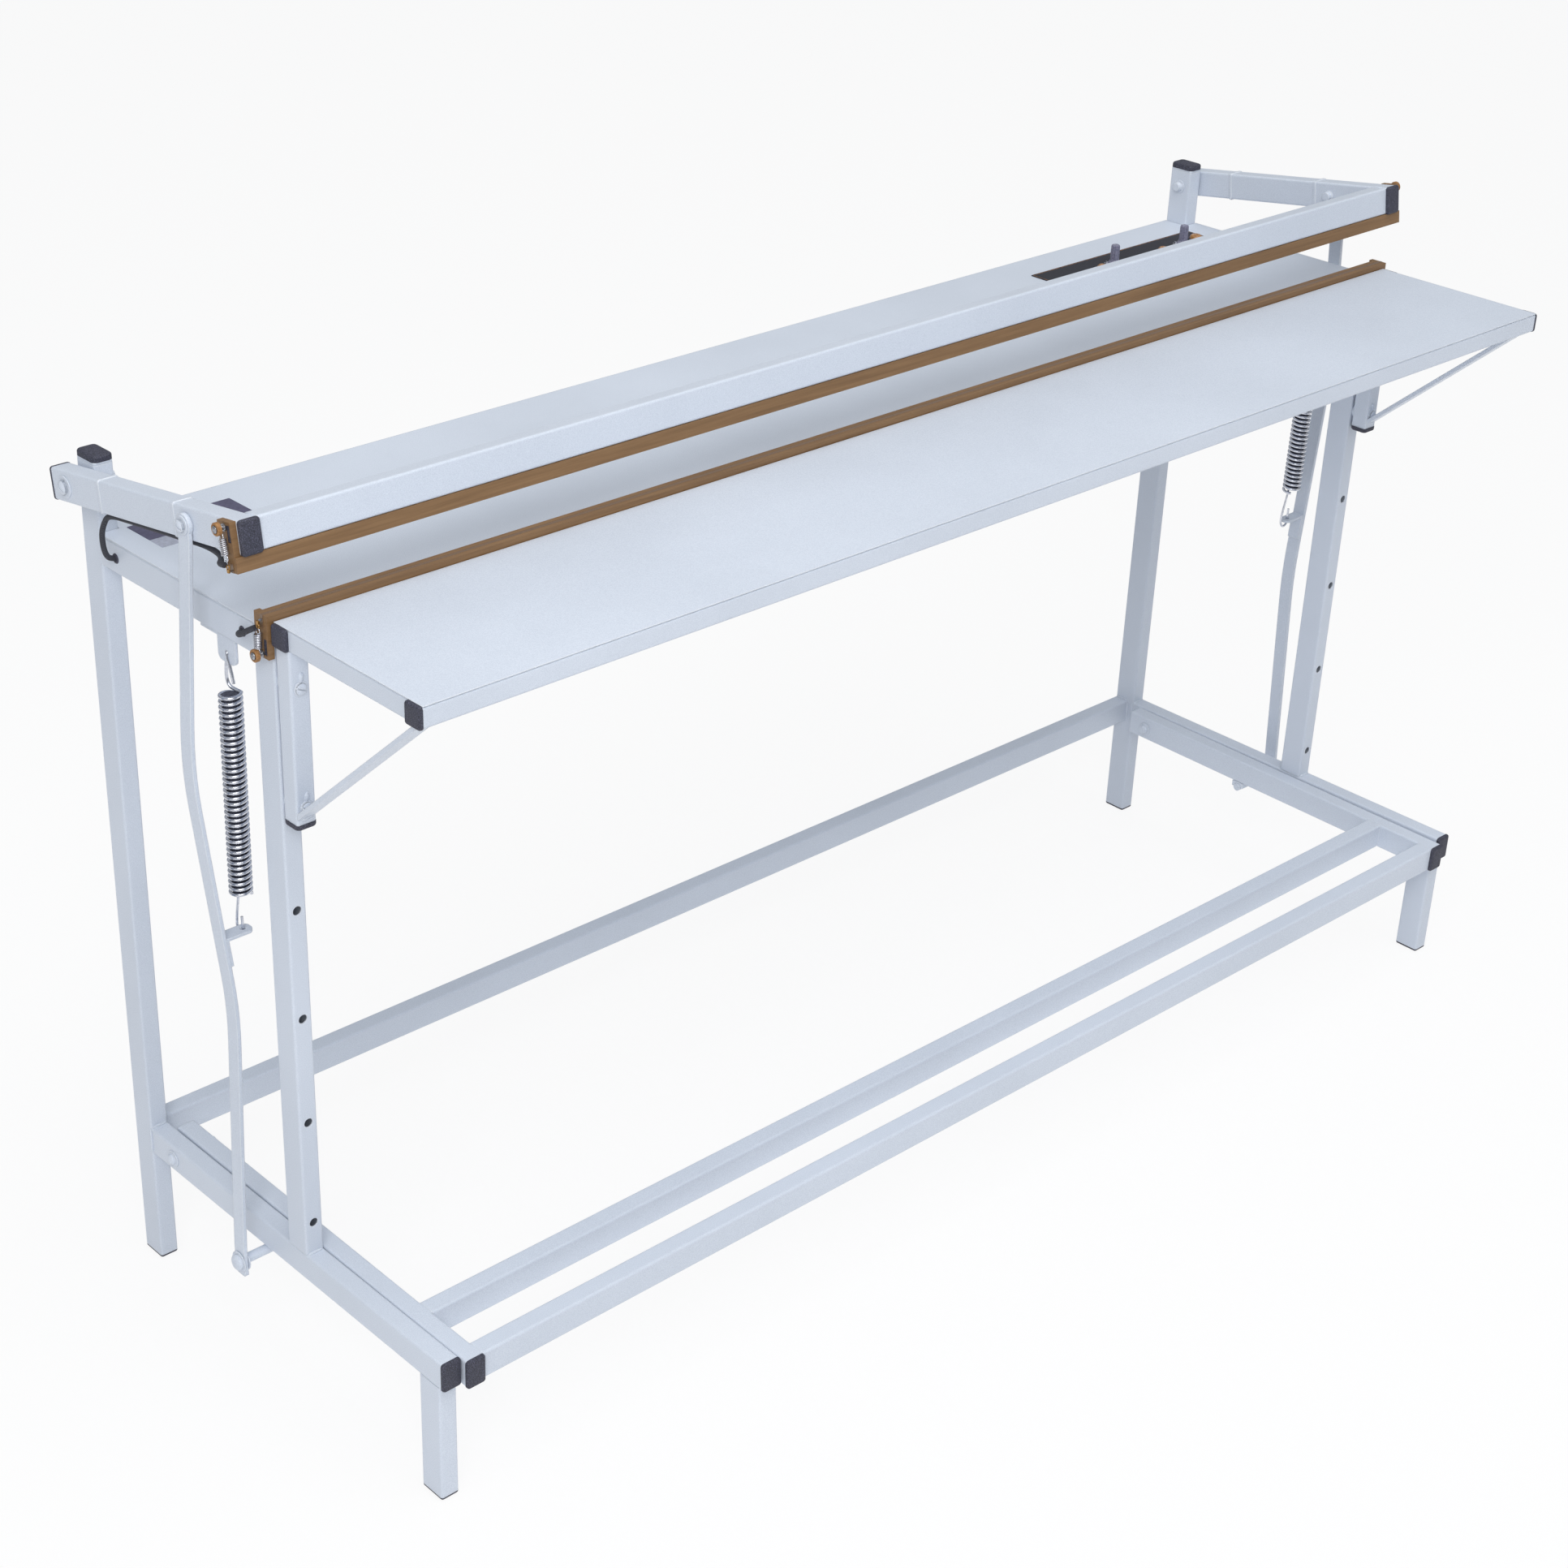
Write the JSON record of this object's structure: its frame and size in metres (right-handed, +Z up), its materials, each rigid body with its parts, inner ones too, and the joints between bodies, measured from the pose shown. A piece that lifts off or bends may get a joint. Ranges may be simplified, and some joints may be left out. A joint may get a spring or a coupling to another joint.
{
  "type": "foot pedal sealer",
  "caption": "Floor-standing bar sealer: a long foot pedal pulls two links that close a heated upper jaw on a lower jaw at the edge of a table with a front shelf.",
  "frame": {"origin": "middle of the base, on the floor under the centre of the machine's bounding box", "axes": "+X along the jaws to the control panel's end, +Y to the back, +Z up"},
  "size_m": [1.6214, 0.533, 0.9151],
  "materials": {
    "white_paint": "satin powder coat",
    "black_plastic": "matt moulded",
    "laminate": "pressed laminate under woven release cloth",
    "heater_steel": "rolled band",
    "spring_steel": "bright plated",
    "brass": "turned",
    "black_sleeve": "sleeved lead",
    "panel_black": "printed plate",
    "knob_grey": "fluted",
    "amber": "translucent lens",
    "board_green": "circuit board",
    "core_steel": "varnished laminations"
  },
  "bodies": {
    "frame": {"arm_pivot_bolts": "white_paint", "bracket_bolts": "white_paint", "bracket_caps": "black_plastic", "control_box": "white_paint", "control_panel": "panel_black", "cord_gland": "black_plastic", "feet": "black_plastic", "left_end_frame": "white_paint", "left_lead_loop": "black_sleeve", "left_lower_end_block": "laminate", "left_lower_lead": "black_sleeve", "left_lower_tension_spring": "spring_steel", "left_return_spring": "spring_steel", "left_shelf_bracket": "white_paint", "lower_heater_band": "heater_steel", "lower_jaw_strip": "laminate", "lower_terminals": "brass", "pedal_bolts": "white_paint", "post_caps": "black_plastic", "rail_caps": "black_plastic", "rear_stretcher": "white_paint", "right_end_frame": "white_paint", "right_lower_end_block": "laminate", "right_lower_lead": "black_sleeve", "right_lower_tension_spring": "spring_steel", "right_return_spring": "spring_steel", "right_shelf_bracket": "white_paint", "shelf_caps": "black_plastic", "shelf_frame": "white_paint", "shelf_sheet": "white_paint", "signal_lamps": "amber", "switch_body": "black_plastic", "table_front_tube": "white_paint", "table_rear_tube": "white_paint", "table_sheet": "white_paint", "timer_board": "board_green", "transformers": "core_steel"},
    "upper_jaw": {"left_arm": "white_paint", "right_arm": "white_paint", "arm_caps": "black_plastic", "crossbar": "white_paint", "upper_jaw_strip": "laminate", "upper_heater_band": "heater_steel", "left_upper_end_block": "laminate", "right_upper_end_block": "laminate", "left_upper_tension_spring": "spring_steel", "right_upper_tension_spring": "spring_steel", "upper_terminals": "brass", "link_bolts": "white_paint", "left_arm_lead": "black_sleeve", "right_arm_lead": "black_sleeve"},
    "pedal": {"pedal_frame": "white_paint", "pedal_caps": "black_plastic", "pedal_pins": "white_paint"},
    "left_link": {"left_link": "white_paint"},
    "right_link": {"right_link": "white_paint"},
    "knob_1": {"timer_knob_1": "knob_grey"},
    "knob_2": {"timer_knob_2": "knob_grey"},
    "button": {"switch_button": "amber"}
  },
  "joints": [
    {"name": "pedal_hinge", "type": "hinge", "parent": "frame", "child": "pedal", "pos_m": [0, 0.18559, 0.148], "axis": [1, 0, 0], "range_deg": [0, 11.4], "stiffness_Nm_per_rad": 40, "springref_deg": -45.84, "deforming": ["left_return_spring", "right_return_spring"]},
    {"name": "jaw_hinge", "type": "hinge", "parent": "frame", "child": "upper_jaw", "pos_m": [0, 0.24059, 0.857], "axis": [1, 0, 0], "range_deg": [0, 8.6], "deforming": ["left_lead_loop"]},
    {"name": "left_link_hinge", "type": "hinge", "parent": "upper_jaw", "child": "left_link", "pos_m": [-0.795, 0.03948, 0.88741], "axis": [1, 0, 0], "range_deg": [-7.9, 0]},
    {"name": "right_link_hinge", "type": "hinge", "parent": "upper_jaw", "child": "right_link", "pos_m": [0.795, 0.03948, 0.88741], "axis": [1, 0, 0], "range_deg": [-7.9, 0]},
    {"name": "timer_knob_1_turn", "type": "hinge", "parent": "frame", "child": "knob_1", "pos_m": [0.562, 0.17759, 0.8125], "axis": [0, 0, -1], "range_deg": [0, 270]},
    {"name": "timer_knob_2_turn", "type": "hinge", "parent": "frame", "child": "knob_2", "pos_m": [0.687, 0.17759, 0.8125], "axis": [0, 0, -1], "range_deg": [0, 270]},
    {"name": "switch_press", "type": "slide", "parent": "frame", "child": "button", "axis": [0, 0, -1], "range_m": [0, 0.002], "stiffness_N_per_m": 400, "springref_m": -0.002}
  ],
  "couplings": [
    {"joint": "jaw_hinge", "follows": "pedal_hinge", "ratio": 0.7541},
    {"joint": "left_link_hinge", "follows": "pedal_hinge", "ratio": -0.68996},
    {"joint": "right_link_hinge", "follows": "pedal_hinge", "ratio": -0.68996}
  ]
}
